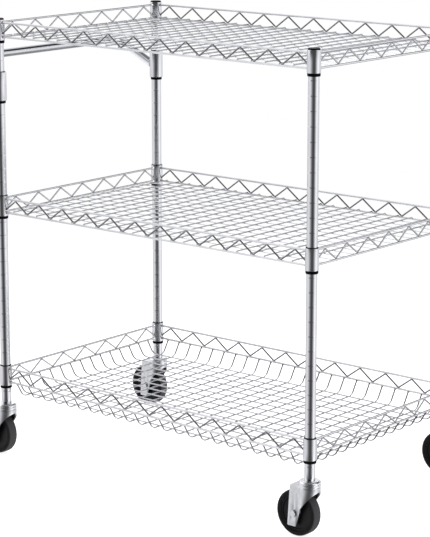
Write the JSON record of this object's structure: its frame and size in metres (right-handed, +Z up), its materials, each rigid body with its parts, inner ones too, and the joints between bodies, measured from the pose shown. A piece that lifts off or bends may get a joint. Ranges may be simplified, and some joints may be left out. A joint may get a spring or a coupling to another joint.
{
  "type": "rolling utility cart",
  "caption": "Chrome wire utility cart with flat shelves over a wire basket on grooved posts, a tubular push handle at one end and swivel casters.",
  "frame": {"origin": "on the floor, under the middle of the cart's overall box, handle included", "axes": "+X along the long side, away from the push handle; +Y from the front to the back; +Z up"},
  "size_m": [0.8632, 0.4774, 0.841],
  "materials": {
    "post_chrome": "bright chrome plate on drawn tube",
    "wire_chrome": "bright chrome plate on welded wire",
    "black_plastic": "moulded, satin",
    "caster_steel": "zinc plate on stamped steel, satin",
    "wheel_plastic": "moulded, satin",
    "tyre_rubber": "smooth dark rubber"
  },
  "bodies": {
    "cart": {"post_front_left": "post_chrome", "post_rear_left": "post_chrome", "post_front_right": "post_chrome", "post_rear_right": "post_chrome", "post_caps": "black_plastic", "bottom_basket_collars": "post_chrome", "bottom_basket_sleeves": "black_plastic", "bottom_basket_rim_wires": "wire_chrome", "bottom_basket_truss_wires": "wire_chrome", "bottom_basket_cross_wires": "wire_chrome", "bottom_basket_long_wires": "wire_chrome", "middle_shelf_collars": "post_chrome", "middle_shelf_sleeves": "black_plastic", "middle_shelf_rim_wires": "wire_chrome", "middle_shelf_truss_wires": "wire_chrome", "middle_shelf_cross_wires": "wire_chrome", "middle_shelf_long_wires": "wire_chrome", "top_shelf_collars": "post_chrome", "top_shelf_sleeves": "black_plastic", "top_shelf_rim_wires": "wire_chrome", "top_shelf_truss_wires": "wire_chrome", "top_shelf_cross_wires": "wire_chrome", "top_shelf_long_wires": "wire_chrome", "handle_bar": "post_chrome", "handle_collars": "post_chrome", "handle_sleeves": "black_plastic", "front_left_caster_stem": "caster_steel", "rear_left_caster_stem": "caster_steel", "front_right_caster_stem": "caster_steel", "rear_right_caster_stem": "caster_steel"},
    "front_left_swivel": {"front_left_caster_lower_race": "caster_steel", "front_left_caster_fork": "caster_steel", "front_left_caster_axle_bolt": "caster_steel", "front_left_caster_axle_nut": "caster_steel"},
    "front_left_wheel": {"front_left_caster_wheel_core": "wheel_plastic", "front_left_caster_tyre": "tyre_rubber"},
    "rear_left_swivel": {"rear_left_caster_lower_race": "caster_steel", "rear_left_caster_fork": "caster_steel", "rear_left_caster_axle_bolt": "caster_steel", "rear_left_caster_axle_nut": "caster_steel"},
    "rear_left_wheel": {"rear_left_caster_wheel_core": "wheel_plastic", "rear_left_caster_tyre": "tyre_rubber"},
    "front_right_swivel": {"front_right_caster_lower_race": "caster_steel", "front_right_caster_fork": "caster_steel", "front_right_caster_axle_bolt": "caster_steel", "front_right_caster_axle_nut": "caster_steel"},
    "front_right_wheel": {"front_right_caster_wheel_core": "wheel_plastic", "front_right_caster_tyre": "tyre_rubber"},
    "rear_right_swivel": {"rear_right_caster_lower_race": "caster_steel", "rear_right_caster_fork": "caster_steel", "rear_right_caster_axle_bolt": "caster_steel", "rear_right_caster_axle_nut": "caster_steel"},
    "rear_right_wheel": {"rear_right_caster_wheel_core": "wheel_plastic", "rear_right_caster_tyre": "tyre_rubber"}
  },
  "joints": [
    {"name": "front_left_swivel_turn", "type": "hinge", "parent": "cart", "child": "front_left_swivel", "pos_m": [-0.3205, -0.2195, 0.103], "axis": [0, 0, 1], "continuous": true},
    {"name": "front_left_wheel_spin", "type": "hinge", "parent": "front_left_swivel", "child": "front_left_wheel", "pos_m": [-0.3435, -0.2195, 0.04125], "axis": [0, 1, 0], "continuous": true},
    {"name": "rear_left_swivel_turn", "type": "hinge", "parent": "cart", "child": "rear_left_swivel", "pos_m": [-0.3205, 0.2195, 0.103], "axis": [0, 0, 1], "continuous": true},
    {"name": "rear_left_wheel_spin", "type": "hinge", "parent": "rear_left_swivel", "child": "rear_left_wheel", "pos_m": [-0.3435, 0.2195, 0.04125], "axis": [0, 1, 0], "continuous": true},
    {"name": "front_right_swivel_turn", "type": "hinge", "parent": "cart", "child": "front_right_swivel", "pos_m": [0.4125, -0.2195, 0.103], "axis": [0, 0, 1], "continuous": true},
    {"name": "front_right_wheel_spin", "type": "hinge", "parent": "front_right_swivel", "child": "front_right_wheel", "pos_m": [0.3895, -0.2195, 0.04125], "axis": [0, 1, 0], "continuous": true},
    {"name": "rear_right_swivel_turn", "type": "hinge", "parent": "cart", "child": "rear_right_swivel", "pos_m": [0.4125, 0.2195, 0.103], "axis": [0, 0, 1], "continuous": true},
    {"name": "rear_right_wheel_spin", "type": "hinge", "parent": "rear_right_swivel", "child": "rear_right_wheel", "pos_m": [0.3895, 0.2195, 0.04125], "axis": [0, 1, 0], "continuous": true}
  ]
}
